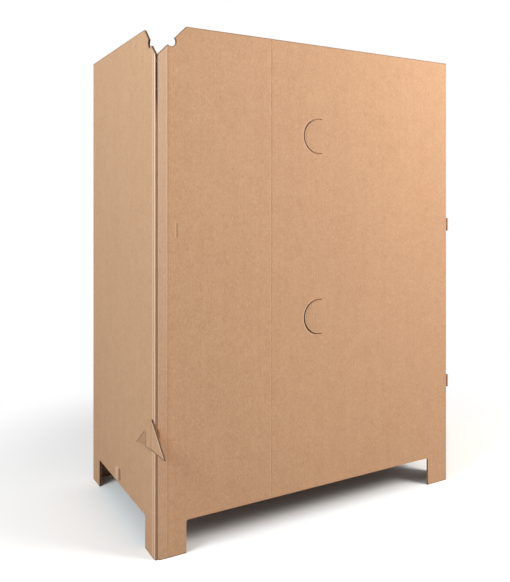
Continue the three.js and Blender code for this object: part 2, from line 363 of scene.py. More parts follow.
@dataclass(frozen=True)
class Noise:
    """A layer of noise on the unrolled wall.

    Attributes:
        along: features a metre along the wall.
        up: features a metre up it.
        detail: octaves.
        rough: strength of the finer octaves.
        slice: depth in the noise at which the layer lies.
    """

    along: float
    up: float
    detail: float
    rough: float
    slice: float = 0.37

    def link(self, at: Surface) -> Link:
        """Adds the noise, about 0 to 1."""
        values = {"X": at.along * self.along, "Y": at.z * self.up, "Z": self.slice}
        spot = node(at.tree, "ShaderNodeCombineXYZ", {}, values)[0]
        values = {"Vector": spot, "Scale": 1.0, "Detail": self.detail, "Roughness": self.rough}
        return node(at.tree, "ShaderNodeTexNoise", {}, values)[0]


@dataclass(frozen=True)
class Grain:
    """The layers of noise in kraft paper."""

    mottle: Noise = Noise(22, 22, 4.0, 0.55)
    cloud: Noise = Noise(3.1, 2.2, 2.0, 0.5)
    fibres: Noise = Noise(230, 95, 3.0, 0.65)
    strands: Noise = Noise(1300, 160, 2.0, 0.5)
    streaks: Noise = Noise(70, 0.9, 3.0, 0.6)
    flecks: Noise = Noise(300, 190, 1.0, 0.4)


@dataclass(frozen=True)
class Crease:
    """An upright scored line on one wall, with a painted highlight or painted shade along it.

    Attributes:
        front: True on the front wall, False on the left wall.
        place: distance along the wall's own axis.
        half_width: half the width of the tone.
        tone: colour of its painted highlight or shade.
        strength: its share at the foot of the wall.
        top_strength: its share at the rim.
        rise_start: height at which its share starts to change.
        rise_end: height at which it reaches that of the rim.
        softness: share of the half width over which it fades.
    """

    front: bool
    place: float
    half_width: float
    tone: Tone
    strength: float
    top_strength: float
    rise_start: float = 0.3
    rise_end: float = TOP_RISE_END
    softness: float = 0.25

    def laid(self, at: Surface, color: Link) -> Link:
        """Lays the crease's tone over a colour."""
        wall = at.on_front if self.front else at.on_left
        near = (at.along - self.place).absolute().within(self.half_width, self.softness)
        gain = self.top_strength - self.strength
        share = at.z.eased(self.rise_start, self.rise_end) * gain + self.strength
        return at.toned(near * wall * share, color, self.tone)


@dataclass(frozen=True)
class Stroke:
    """A straight line of painted highlight or painted shade on one side of the box.

    Attributes:
        start: its first end.
        end: its other end.
        half_width: half the width of the tone.
        tone: colour of its painted highlight or shade.
        strength: its share.
        front: True on the front wall, False on the left wall's side.
        softness: share of the half width over which it fades.
    """

    start: Spot
    end: Spot
    half_width: float
    tone: Tone
    strength: float
    front: bool = False
    softness: float = 0.3

    def laid(self, at: Surface, sizes: BoxSizes, color: Link) -> Link:
        """Lays the stroke's tone over a colour."""
        run = at.x - sizes.left if self.front else at.y - sizes.front
        wall = at.on_front if self.front else at.on_left
        across, up = self.end[0] - self.start[0], self.end[1] - self.start[1]
        from_start, above_start = run - self.start[0], at.z - self.start[1]
        along = (from_start * across + above_start * up) / (across * across + up * up)
        along = along.limited()
        aside, over = from_start - along * across, above_start - along * up
        distance = (aside * aside + over * over).power(0.5)
        share = distance.within(self.half_width, self.softness) * self.strength
        return at.toned(share * wall, color, self.tone)


@dataclass(frozen=True)
class KraftFinish:
    """Brown kraft liner over flutes, with fibres, mottling and open cut edges, and where asked
    painted highlights and painted shade.

    Attributes:
        name: name of the material.
        sizes: sizes of the box.
        base: tone of the paper.
        light: its lightest tone.
        dark: its darkest tone.
        cut: tone of level cut edges.
        fibre: strength of the fine fibres.
        mottle: strength of the coarser mottling.
        streak: strength of the long upright streaks.
        cloud: strength of the slow change over a wall.
        flute_pitch: distance of the flutes that show through.
        flute_bump: how far they show.
        lower_tone: tone that the paper takes below the closing corner's top, or None.
        cut_edges: whether level faces get the tone of a cut edge.
        walls: whether the finish is on the wall sheet, with painted light on its strip, painted
            shade along its borders, in its hollow and in the half-moons' cuts, and painted
            highlights beside those cuts.
        creases: scored lines, with painted highlights and shade.
        strokes: lines of painted highlight and painted shade.
    """

    name: str
    sizes: BoxSizes
    base: Tone = (202, 157, 121)
    light: Tone = (220, 175, 137)
    dark: Tone = (180, 132, 95)
    cut: Tone = (132, 92, 64)
    fibre: float = 0.9
    mottle: float = 0.2
    streak: float = 0.12
    cloud: float = 0.08
    flute_pitch: float = 7.8 * MM
    flute_bump: float = 0.25
    lower_tone: Tone | None = None
    cut_edges: bool = False
    walls: bool = False
    creases: tuple[Crease, ...] = ()
    strokes: tuple[Stroke, ...] = ()

    def material(self) -> Material:
        """Builds the node material."""
        made = bpy.data.materials.new(self.name)
        made.use_nodes = True
        tree = made.node_tree
        at = Surface.read(tree)
        grain = Grain()
        layers = (grain.mottle, grain.cloud, grain.fibres, grain.streaks)
        mottle, cloud, fibres, streaks = (layer.link(at) for layer in layers)
        wave = (at.along * (2 * math.pi / self.flute_pitch)).sine()

        tone = mottle * self.mottle + fibres * self.fibre * 0.5
        tone = tone + grain.strands.link(at) * self.fibre * 0.3
        tone = tone + streaks * self.streak + cloud * self.cloud
        color = self._paper(at, tone, grain.flecks.link(at))
        color = at.toned(wave.eased(-1.0, 1.0) * 0.09, color, self.dark)
        if self.walls:
            # Painted light: the strip is painted lighter, more so towards the top.
            strip = at.x.below(self.sizes.left + self.sizes.strip_width) * at.on_front
            share = at.z.eased(TOP_RISE_START, TOP_RISE_END) * 0.24 + 0.04
            color = at.toned(strip * share, color, STRIP_PAINTED_LIGHT)
        # Creases and strokes lay painted highlights and painted shade.
        for crease in self.creases:
            color = crease.laid(at, color)
        for stroke in self.strokes:
            color = stroke.laid(at, self.sizes, color)
        if self.lower_tone is not None:
            color = at.toned(at.z.eased(*CORE_FADE) * 0.9, color, self.lower_tone)
        if self.cut_edges:
            color = at.toned(at.upright.absolute().eased(0.2, 0.4) * 0.85, color, self.cut)
        if self.walls:
            color = self._rim_shade(at, color)
            color = self._hollow_shade(at, color)
            color = self._moon_shade(at, color)

        height = wave * self.flute_bump * 0.04 + fibres * 0.3 + mottle * 0.4 + cloud + streaks * 0.5
        values = {"Strength": 0.35, "Distance": 0.6 * MM, "Height": height}
        bump = node(tree, "ShaderNodeBump", {}, values)[0]
        shader = tree.nodes["Principled BSDF"]
        inputs = {"Base Color": color, "Roughness": mottle * 0.1 + 0.78, "Normal": bump}
        for name, value in inputs.items():
            tree.links.new(value.socket, shader.inputs[name])
        shader.inputs["Specular IOR Level"].default_value = 0.3
        return made

    def _paper(self, at: Surface, tone: Link, flecks: Link) -> Link:
        """Colours the plain paper by the sum of its layers of noise, and adds flecks."""
        level = 0.5 * (self.mottle + self.fibre * 0.8 + self.streak + self.cloud)
        share = (tone - level) * 0.9 + 0.5
        stops = [(0.22, linear(*self.dark)), (0.5, linear(*self.base)), (0.8, linear(*self.light))]
        color = node(at.tree, "ShaderNodeValToRGB", {"stops": stops}, {"Fac": share})[0]
        color = at.toned(flecks.eased(0.66, 0.74) * 0.35, color, DARK_FLECK)
        return at.toned(flecks.eased(0.36, 0.3) * 0.3, color, PALE_FLECK)

    def _rim_shade(self, at: Surface, color: Link) -> Link:
        """Darkens a narrow border along the rim, the chamfers, their notches and the feet."""
        s = self.sizes
        drop = s.height - at.z
        border = drop.eased(*RIM_BORDER).larger(at.z.eased(*FOOT_BORDER))
        for run, wall in ((at.x - s.left, at.on_front), (at.y - s.front, at.on_left)):
            slant = (run + drop - s.chamfer) / math.sqrt(2)
            aside = run - s.chamfer / 2
            below = drop - s.chamfer / 2
            round_off = (aside * aside + below * below).power(0.5) - s.notch_radius
            near = slant.eased(*SLANT_BORDER).larger(round_off.eased(*SLANT_BORDER))
            border = border.larger(near * wall)
        return at.toned(border * 0.62, color, EDGE_SHADE)

    def _hollow_shade(self, at: Surface, color: Link) -> Link:
        """Shades the hollow pressed into the left wall behind the lock's slot."""
        s = self.sizes
        sunk = at.x.above(s.left + 0.6 * MM) * at.x.below(s.left + 2 * MM)
        sunk = sunk * at.on_left * at.y.above(s.front + s.side_foot_width * 0.6)
        return at.toned(sunk * 0.4, color, HOLLOW_SHADE)

    def _moon_shade(self, at: Surface, color: Link) -> Link:
        """Paints shade into the half-moons' cuts, most at their left, and painted highlights in
        rings beside them.
        """
        s = self.sizes
        outer = at.y.below(s.front + s.board)
        for height, strength in zip(s.moon_heights, MOON_SHARES):
            across = at.x - (s.left + s.right) / 2 - s.moon_offset
            up = at.z - height
            radius = (across * across + up * up).power(0.5)
            turned = (0 - across).eased(s.moon_radius * 0.1, s.moon_radius * 0.9) * outer
            cut = radius.near(s.moon_radius - s.moon_kerf * 0.75, 3.4 * MM, 4.8 * MM)
            color = at.toned(cut * turned * strength, color, CUT_SHADE)
            # The pale rings inside and outside each cut are painted highlights.
            lit_ring = radius.near(s.moon_radius - s.moon_kerf - 4.2 * MM, 1.0 * MM, 2.0 * MM)
            lit_ring = lit_ring.larger(radius.near(s.moon_radius + 3.5 * MM, 1.0 * MM, 2.0 * MM))
            share = lit_ring * turned * at.on_front * strength * 0.45
            color = at.toned(share, color, MOON_HIGHLIGHT)
        return color


@dataclass(frozen=True)
class FluteLayer:
    """One medium or middle liner of the board.

    Attributes:
        name: its name.
        pitch: length of a wave.
        swing: how far it swings from its middle, 0 for a liner.
        offset: distance of its middle from the board's, outwards.
    """

    name: str
    pitch: float
    swing: float
    offset: float


@dataclass(frozen=True)
class EdgePoint:
    """A point on a cut edge: its place and the outward direction of the wall there."""

    place: Vector
    side: Vector


@dataclass
class CutEdge:
    """A run of cut edge along the middle of the board, open over a part of its thickness.

    Attributes:
        name: its name.
        kind: how it meets the flutes.
        points: the run, point by point.
        open_width: width of the opening between the outer liners.
    """

    name: str
    kind: FluteKind
    points: list[EdgePoint]
    open_width: float = 5.4 * MM

    def inward(self, index: int) -> Vector:
        """Direction from the cut into the board at one point."""
        last = len(self.points) - 1
        before = self.points[max(index - 1, 0)].place
        after = self.points[min(index + 1, last)].place
        return self.points[index].side.cross(after - before).normalized()

    def path_object(self) -> Object:
        """Makes the path of plain edges that the flute tree follows, with its two directions."""
        mesh = bpy.data.meshes.new(self.name + "_path")
        places = [point.place for point in self.points]
        mesh.from_pydata(places, [(i, i + 1) for i in range(len(places) - 1)], [])
        sides = mesh.attributes.new("side", "FLOAT_VECTOR", "POINT")
        inwards = mesh.attributes.new("inward", "FLOAT_VECTOR", "POINT")
        for i, point in enumerate(self.points):
            sides.data[i].vector = point.side
            inwards.data[i].vector = self.inward(i)
        return bpy.data.objects.new(self.name, mesh)

    def groove(self, depth: float, proud: float) -> Object:
        """Makes the solid that opens the cut edge between the outer liners.

        Args:
            depth: into the board.
            proud: past the cut.

        Returns:
            A closed mesh object.
        """
        bm = bmesh.new()
        rings = []
        half = self.open_width / 2
        section = ((-half, -proud), (half, -proud), (half, depth), (-half, depth))
        for i, point in enumerate(self.points):
            inward = self.inward(i)
            spots = [point.place + point.side * across + inward * into for across, into in section]
            rings.append([bm.verts.new(spot) for spot in spots])
        for first, second in zip(rings, rings[1:]):
            for k in range(4):
                bm.faces.new((first[k], first[(k + 1) % 4], second[(k + 1) % 4], second[k]))
        bm.faces.new(rings[0][::-1])
        bm.faces.new(rings[-1])
        bmesh.ops.recalc_face_normals(bm, faces=bm.faces)
        mesh = bpy.data.meshes.new(self.name + "_groove")
        bm.to_mesh(mesh)
        bm.free()
        return bpy.data.objects.new(self.name + "_groove", mesh)


@dataclass
class FluteTree:
    """Geometry Nodes that fold a paper medium along a cut edge.

    Attributes:
        steps_per_wave: points on each wave.
        merge_distance: distance below which points are joined.
    """

    steps_per_wave: int = 8
    merge_distance: float = 0.005 * MM

    def build(self) -> NodeTree:
        """Builds the node group, with named inputs for its sizes."""
        tree = bpy.data.node_groups.new("flute_medium", "GeometryNodeTree")
        face = tree.interface
        face.new_socket("Geometry", in_out="INPUT", socket_type="NodeSocketGeometry")
        for name in ("Pitch", "Swing", "Offset", "Depth", "Recess", "Sheet"):
            face.new_socket(name, in_out="INPUT", socket_type="NodeSocketFloat")
        face.new_socket("Material", in_out="INPUT", socket_type="NodeSocketMaterial")
        face.new_socket("Geometry", in_out="OUTPUT", socket_type="NodeSocketGeometry")
        inputs = {out.name: Link(tree, out) for out in tree.nodes.new("NodeGroupInput").outputs}

        curve = node(tree, "GeometryNodeMeshToCurve", {}, {"Mesh": inputs["Geometry"]})[0]
        values = {"Curve": curve, "Length": inputs["Pitch"] / self.steps_per_wave}
        curve = node(tree, "GeometryNodeResampleCurve", {"mode": "LENGTH"}, values)[0]
        length = node(tree, "GeometryNodeSplineParameter", {}, {})[1]
        side = self._attribute(tree, "side")
        inward = self._attribute(tree, "inward")
        phase = length * (2 * math.pi) / inputs["Pitch"]
        across = phase.sine() * inputs["Swing"] + inputs["Offset"]
        shift = self._scaled(tree, side, across)
        sink = self._scaled(tree, inward, inputs["Recess"])
        offset = node(tree, "ShaderNodeVectorMath", {"operation": "ADD"}, {0: shift, 1: sink})[0]
        curve = node(tree, "GeometryNodeSetPosition", {}, {"Geometry": curve, "Offset": offset})[0]
        wire = node(tree, "GeometryNodeCurveToMesh", {}, {"Curve": curve})[0]
        values = {"Mesh": wire, "Offset": inward, "Offset Scale": inputs["Depth"]}
        ribbon = node(tree, "GeometryNodeExtrudeMesh", {"mode": "EDGES"}, values)[0]
        values = {"Mesh": ribbon, "Offset Scale": inputs["Sheet"], "Individual": False}
        thick = node(tree, "GeometryNodeExtrudeMesh", {"mode": "FACES"}, values)[0]
        under = node(tree, "GeometryNodeFlipFaces", {}, {"Mesh": ribbon})[0]
        join = tree.nodes.new("GeometryNodeJoinGeometry")
        for part in (thick, under):
            tree.links.new(part.socket, join.inputs[0])
        values = {"Geometry": Link(tree, join.outputs[0]), "Distance": self.merge_distance}
        merged = node(tree, "GeometryNodeMergeByDistance", {}, values)[0]
        real = node(tree, "GeometryNodeRealizeInstances", {}, {"Geometry": merged})[0]
        values = {"Geometry": real, "Material": inputs["Material"]}
        dressed = node(tree, "GeometryNodeSetMaterial", {}, values)[0]
        tree.links.new(dressed.socket, tree.nodes.new("NodeGroupOutput").inputs[0])
        return tree

    @staticmethod
    def _attribute(tree: NodeTree, name: str) -> Link:
        """Reads a vector attribute of the path."""
        settings = {"data_type": "FLOAT_VECTOR"}
        return node(tree, "GeometryNodeInputNamedAttribute", settings, {"Name": name})[0]

    @staticmethod
    def _scaled(tree: NodeTree, vector: Link, scale: Link) -> Link:
        """Scales a vector."""
        values = {"Vector": vector, "Scale": scale}
        return node(tree, "ShaderNodeVectorMath", {"operation": "SCALE"}, values)[0]


def evaluated(source: Object, name: str) -> Object:
    """Turns an object with modifiers into a plain mesh object.

    Args:
        source: the object, which is removed.
        name: name of the plain one.

    Returns:
        The plain object, linked to the scene.
    """
    bpy.context.view_layer.update()
    graph = bpy.context.evaluated_depsgraph_get()
    mesh = bpy.data.meshes.new_from_object(source.evaluated_get(graph))
    mesh.name = name
    bpy.data.objects.remove(source)
    plain = bpy.data.objects.new(name, mesh)
    bpy.context.scene.collection.objects.link(plain)
    return plain


def joined(parts: list[Object], name: str) -> Object:
    """Joins plain mesh objects.

    Args:
        parts: the objects, which are removed.
        name: name of the result.

    Returns:
        One mesh object at the origin.
    """
    bm = bmesh.new()
    materials = []
    for part in parts:
        for material in part.data.materials:
            if material not in materials:
                materials.append(material)
        start = len(bm.faces)
        bm.from_mesh(part.data)
        bm.faces.ensure_lookup_table()
        own = [materials.index(material) for material in part.data.materials] or [0]
        for piece_face in bm.faces[start:]:
            piece_face.material_index = own[min(piece_face.material_index, len(own) - 1)]
        bpy.data.objects.remove(part)
    mesh = bpy.data.meshes.new(name)
    bm.to_mesh(mesh)
    bm.free()
    for material in materials:
        mesh.materials.append(material)
    whole = bpy.data.objects.new(name, mesh)
    bpy.context.scene.collection.objects.link(whole)
    return whole


@dataclass
class EdgePlan:
    """Works out where the board of the walls is cut, along its middle.

    Attributes:
        sizes: sizes of the box.
        bend_steps: steps along a fold.
        notch_steps: steps round a notch.
    """

    sizes: BoxSizes
    bend_steps: int = 4
    notch_steps: int = 7

    def rim(self) -> CutEdge:
        """Upper rim, from the left wall's raw edge round to the end of the strip."""
        s = self.sizes
        half = s.board / 2
        left, right = s.left + half, s.right - half
        front, back = s.front + half, s.back - half
        west, east = Vector((-1, 0, 0)), Vector((1, 0, 0))
        south, north = Vector((0, -1, 0)), Vector((0, 1, 0))
        points = [
            EdgePoint(Vector((left + s.lean(run), s.front + run, up)), west)
            for run, up in self.chamfer_line(s.lip_end, (s.lip_crease,))
        ]
        points += self.bend(Vector((left, back, s.height)), west, north)
        points += self.bend(Vector((right, back, s.height)), north, east)
        points += self.bend(Vector((right, front, s.height)), east, south)
        points += [
            EdgePoint(Vector((s.left + run, front, up)), south)
            for run, up in reversed(self.chamfer_line(s.strip_width))
        ]
        run = s.board + s.lip_in + s.tuck_gap + s.board
        end = Vector((s.left + run, front + s.strip_setback, s.height - s.chamfer + run))
        points.append(EdgePoint(end, south))
        return CutEdge("rim", FluteKind.OPEN, points)

    def chamfer_line(self, start: float, stops: tuple[float, ...] = ()) -> list[Spot]:
        """Chamfer with its half-round notch.

        Args:
            start: distance from the corner at which the line starts.
            stops: more distances below the notch that get a point.

        Returns:
            The line, point by point.
        """
        s = self.sizes
        low = s.height - s.chamfer
        middle = s.chamfer / 2
        line = [(run, low + run) for run in (start, *stops)]
        for k in range(self.notch_steps + 1):
            angle = math.radians(225 + 180 * k / self.notch_steps)
            across, up = s.notch_radius * math.cos(angle), s.notch_radius * math.sin(angle)
            line.append((middle + across, low + middle + up))
        line.append((s.chamfer, s.height))
        return [point for point in line if point[0] >= start]

    def bend(self, corner: Vector, first: Vector, second: Vector) -> list[EdgePoint]:
        """Rounded fold of the middle line at a corner of the box.

        Args:
            corner: where the two straight middle lines would meet.
            first: outward direction of the wall before the fold.
            second: outward direction of the wall after it.

        Returns:
            Points along the fold.
        """
        radius = self.sizes.fold_radius
        centre = corner - (first + second) * radius
        points = []
        for k in range(self.bend_steps + 1):
            angle = math.pi / 2 * k / self.bend_steps
            side = first * math.cos(angle) + second * math.sin(angle)
            points.append(EdgePoint(centre + side * radius, side))
        return points

    def cutouts(self) -> list[CutEdge]:
        """Upper edges and sides of the four fork openings."""
        s = self.sizes
        half = s.board / 2
        left, right, front, back = s.left, s.right, s.front, s.back
        foot, side_foot = s.foot_width, s.side_foot_width
        spans = (
            ("front", Vector((0, -1, 0)), Vector((1, 0, 0)), front + half, left, right, foot),
            ("back", Vector((0, 1, 0)), Vector((-1, 0, 0)), back - half, -right, -left, foot),
            ("right", Vector((1, 0, 0)), Vector((0, 1, 0)), right - half, front, back, side_foot),
            ("left", Vector((-1, 0, 0)), Vector((0, -1, 0)), left + half, -back, -front, side_foot),
        )
        edges = []
        for name, side, way, plane, low, high, width in spans:
            base = Vector((abs(side.x), abs(side.y), 0)) * plane
            top = s.foot_height
            r = s.cutout_radius
            level = [(low + width + r, top), (high - width - r, top)]
            rising = [(low + width, 0.0), (low + width, top - r)]
            falling = [(high - width, top - r), (high - width, 0.0)]
            for label, kind, line in (
                ("level", FluteKind.OPEN, level),
                ("rising", FluteKind.CLOSED, rising),
                ("falling", FluteKind.CLOSED, falling),
            ):
                places = [base + way * run + Vector((0, 0, up)) for run, up in line]
                points = [EdgePoint(place, side) for place in places]
                edges.append(CutEdge(f"{name}_{label}", kind, points))
        return edges

    def raw_edge(self) -> CutEdge:
        """Upright raw edge of the left wall at the closing corner."""
        s = self.sizes
        x = s.left + s.board / 2 + s.lip_in
        y = s.front + s.lip_end
        top = s.height - s.chamfer + s.lip_end
        side = Vector((-1, 0, 0))
        line = [EdgePoint(Vector((x, y, up)), side) for up in (top, 0.0)]
        return CutEdge("raw_edge", FluteKind.PRESSED, line, s.pressed_width)


@dataclass
class WallSheet:
    """The folded wall sheet: its board opened at the cuts, and the media that show there.

    Attributes:
        sizes: sizes of the box.
        solid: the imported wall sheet.
        groove_depth: how deep the cut edges are opened.
        proud: how far the cutters stand out.
        paper: thickness of a medium.
        recess: how far the filling lies below the cut.
        core_depth: depth of the pressed core.
        weld: distance below which the solid's points are joined.
        layers: the media and the middle liner.
    """

    sizes: BoxSizes
    solid: Object
    groove_depth: float = 9 * MM
    proud: float = 1 * MM
    paper: float = 0.35 * MM
    recess: float = 0.3 * MM
    core_depth: float = 2 * MM
    weld: float = 0.01 * MM
    layers: tuple[FluteLayer, ...] = (
        FluteLayer("coarse", 7.8 * MM, 1.25 * MM, 0.95 * MM),
        FluteLayer("fine", 6.2 * MM, 0.8 * MM, -1.55 * MM),
        FluteLayer("liner", 7.8 * MM, 0.0, -0.5 * MM),
    )

    def build(
        self, finish: KraftFinish, medium: KraftFinish, core: KraftFinish
    ) -> list[Object]:
        """Makes the board and its media.

        Args:
            finish: finish of the liners.
            medium: finish of the paper between them.
            core: finish of the paper pressed together at the raw edge.

        Returns:
            The pieces.
        """
        plan = EdgePlan(self.sizes)
        upper = [plan.rim(), plan.raw_edge()]
        lower = plan.cutouts()
        board = self._board(upper + lower, finish.material())
        paper, core_paper = medium.material(), core.material()
        tree = FluteTree().build()
        pieces = [board]
        for name, edges in (("rim_flutes", upper), ("fork_opening_flutes", lower)):
            parts = []
            for edge in edges:
                parts += self._filling(edge, tree, paper, core_paper)
            pieces.append(joined(parts, name))
        for piece in pieces:
            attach(piece, "root")
        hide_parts("wall_sheet")
        return pieces

    def _board(self, edges: list[CutEdge], material: Material) -> Object:
        """Copies the wall sheet and opens its cut edges."""
        bm = bmesh.new()
        bm.from_mesh(self.solid.data)
        bmesh.ops.remove_doubles(bm, verts=bm.verts, dist=self.weld)
        mesh = bpy.data.meshes.new("wall_board")
        bm.to_mesh(mesh)
        bm.free()
        board = bpy.data.objects.new("wall_board", mesh)
        scene = bpy.context.scene.collection
        scene.objects.link(board)
        grooves = []
        for edge in edges:
            groove = edge.groove(self.groove_depth, self.proud)
            scene.objects.link(groove)
            grooves.append(groove)
            cut = board.modifiers.new(edge.name, "BOOLEAN")
            cut.operation = "DIFFERENCE"
            cut.solver = "MANIFOLD"
            cut.object = groove
        plain = evaluated(board, "wall_board")
        for groove in grooves:
            bpy.data.objects.remove(groove)
        plain.data.materials.clear()
        plain.data.materials.append(material)
        return plain

    def _filling(
        self,
        edge: CutEdge,
        tree: NodeTree,
        paper: Material,
        core_paper: Material,
    ) -> list[Object]:
        """Makes what shows in one opened cut edge, as plain mesh objects."""
        if edge.kind is FluteKind.PRESSED:
            return [self._core(edge, core_paper)]
        return self._media(edge, tree, paper)

    def _core(self, edge: CutEdge, material: Material) -> Object:
        """Fills the pressed raw edge with a thin closed strip, a little below its liners."""
        filling = edge.groove(self.core_depth, -self.recess)
        bpy.context.scene.collection.objects.link(filling)
        filling.data.materials.append(material)
        return filling

    def _media(
        self, edge: CutEdge, tree: NodeTree, paper: Material
    ) -> list[Object]:
        """Makes the media and the middle liner along one cut edge."""
        made = []
        for layer in self.layers:
            path = edge.path_object()
            bpy.context.scene.collection.objects.link(path)
            modifier = path.modifiers.new("flutes", "NODES")
            modifier.node_group = tree
            swing = layer.swing if edge.kind is FluteKind.OPEN else 0.0
            sizes = {
                "Pitch": layer.pitch,
                "Swing": swing,
                "Offset": layer.offset - self.paper / 2,
                "Depth": self.groove_depth - self.recess,
                "Recess": self.recess,
                "Sheet": self.paper,
                "Material": paper,
            }
            for socket in tree.interface.items_tree:
                if socket.in_out == "INPUT" and socket.name in sizes:
                    modifier[socket.identifier] = sizes[socket.name]
            made.append(evaluated(path, f"{edge.name}_{layer.name}"))
        return made


@dataclass
class InnerBoard:
    """Posts, floor tray and rib, which keep their solids and get a finish.

    Attributes:
        solids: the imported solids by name.
        plain: the solids with the plain inner finish.
        lock: the post that carries the lock and the slit's tongue.
        rib: the rib, whose tongue shows on the left wall.
    """

    solids: dict[str, Object]
    plain: tuple[str, ...] = ("floor_tray", "post_front_right", "post_rear_left", "post_rear_right")
    lock: str = "post_front_left"
    rib: str = "cross_rib"

    def dress(self, finish: KraftFinish, lock_finish: KraftFinish, rib_finish: KraftFinish) -> None:
        """Gives every inner piece its finish.

        Args:
            finish: finish of the other posts and the tray.
            lock_finish: finish of the post that carries the lock.
            rib_finish: finish of the rib.
        """
        self._paint(self.plain, finish.material())
        self._paint((self.lock,), lock_finish.material())
        self._paint((self.rib,), rib_finish.material())

    def _paint(self, names: tuple[str, ...], material: Material) -> None:
        """Puts one material on the named solids."""
        for name in names:
            mesh = self.solids[name].data
            mesh.materials.clear()
            mesh.materials.append(material)
            LOG.info("dressed %s", name)


@dataclass(frozen=True)
class WallMarks:
    """Painted highlights and painted shade along creases, slots and edges of the walls and the
    lock, placed from the closing corner.

    Attributes:
        sizes: sizes of the box.
        slit_low: lower end of the tongue in the front slit.
        slot: the lock's slot, from the corner.
        slot_low: its lower end.
        slot_high: its upper end.
        lock_low: height at which the lock's lower edge meets its crease.
        fin_tip: tip of its fin.
    """

    sizes: BoxSizes
    slit_low: float = 974 * MM
    slot: float = 71.5 * MM
    slot_low: float = 327 * MM
    slot_high: float = 368 * MM
    lock_low: float = 329.5 * MM
    fin_tip: Spot = (-82 * MM, 333.3 * MM)

    def creases(self) -> tuple[Crease, ...]:
        """Painted highlights and shade along the front wall's score and strip edge, and painted
        highlights along the left wall's lip crease and raw edge.
        """
        s = self.sizes
        score = s.left + s.score_from_corner
        strip = s.left + s.strip_width
        return (
            Crease(True, score - 2.5 * MM, 1.6 * MM, CREASE_HIGHLIGHT, 0.25, 0.25),
            Crease(True, score, 1.2 * MM, CREASE_SHADE, 0.12, 0.12),
            Crease(True, strip - 1.5 * MM, 1.6 * MM, CREASE_HIGHLIGHT, 0.15, 0.7),
            Crease(True, strip + 2 * MM, 2 * MM, CREASE_SHADE, 0.08, 0.25),
            Crease(False, s.front + s.lip_crease + 2 * MM, 3 * MM, LIP_HIGHLIGHT, 0.4, 0.3),
            Crease(False, s.front + s.lip_end + 2 * MM, 4.5 * MM, LIP_HIGHLIGHT, 0.55, 0.85),
        )

    def slit(self) -> tuple[Stroke, ...]:
        """Painted highlight and painted shade on the two sides of the tongue in the front wall's
        slit.
        """
        low, pale, dark = self.slit_low, self.sizes.slit - 5.5 * MM, self.sizes.slit - 1 * MM
        return (
            Stroke((pale, low), (pale, 1020 * MM), 2.2 * MM, GLINT, 0.22, front=True),
            Stroke((dark, low), (dark, 1013 * MM), 2.2 * MM, SLOT_SHADE, 0.34, front=True),
        )

    def rib_slot(self) -> tuple[Stroke, ...]:
        """Painted shade in the gap in front of the rib's tongue."""
        return (Stroke((346 * MM, 122 * MM), (349 * MM, 152 * MM), 6 * MM, SLOT_SHADE, 0.75),)

    def lock(self) -> tuple[Stroke, ...]:
        """Painted shade in the hollow and along the slot, the crease and the fin's lower edge, and
        painted highlights beside the crease and along the tongue's upper edge.
        """
        slot, crease, shade = self.slot, self.sizes.lip_crease, SLOT_SHADE
        hollow = slot + 8.5 * MM
        pale = crease - 4.5 * MM
        root = (crease, self.lock_low)
        return (
            Stroke((hollow, 325 * MM), (hollow, 366 * MM), 9 * MM, HOLLOW_SHADE, 0.4),
            Stroke((slot, self.slot_low), (slot, self.slot_high), 1.8 * MM, shade, 0.8),
            Stroke((slot, self.slot_low - 3 * MM), root, 1.8 * MM, shade, 0.55),
            Stroke((crease, 332 * MM), (crease, 405 * MM), 2.0 * MM, shade, 0.75),
            Stroke((pale, 334 * MM), (pale, 400 * MM), 2.2 * MM, GLINT, 0.55),
            Stroke((18 * MM, 411.5 * MM), (-76 * MM, 335.5 * MM), 2.6 * MM, GLINT, 0.7),
            Stroke(root, self.fin_tip, 1.8 * MM, shade, 0.75),
        )


@dataclass(frozen=True)
class Softbox:
    """A square lamp.

    Attributes:
        name: its name.
        place: where it stands.
        aim: what it points at.
        width: its side in metres.
        power: in watts.
        color: its linear colour.
    """

    name: str
    place: tuple[float, float, float]
    aim: tuple[float, float, float]
    width: float
    power: float
    color: tuple[float, float, float]

    def add(self) -> None:
        """Adds the lamp."""
        data = bpy.data.lights.new(self.name, "AREA")
        data.size = self.width
        data.energy = self.power
        data.color = self.color
        lamp = bpy.data.objects.new(self.name, data)
        lamp.location = self.place
        way = Vector(self.place) - Vector(self.aim)
        lamp.rotation_euler = way.to_track_quat("Z", "Y").to_euler()
        bpy.context.scene.collection.objects.link(lamp)


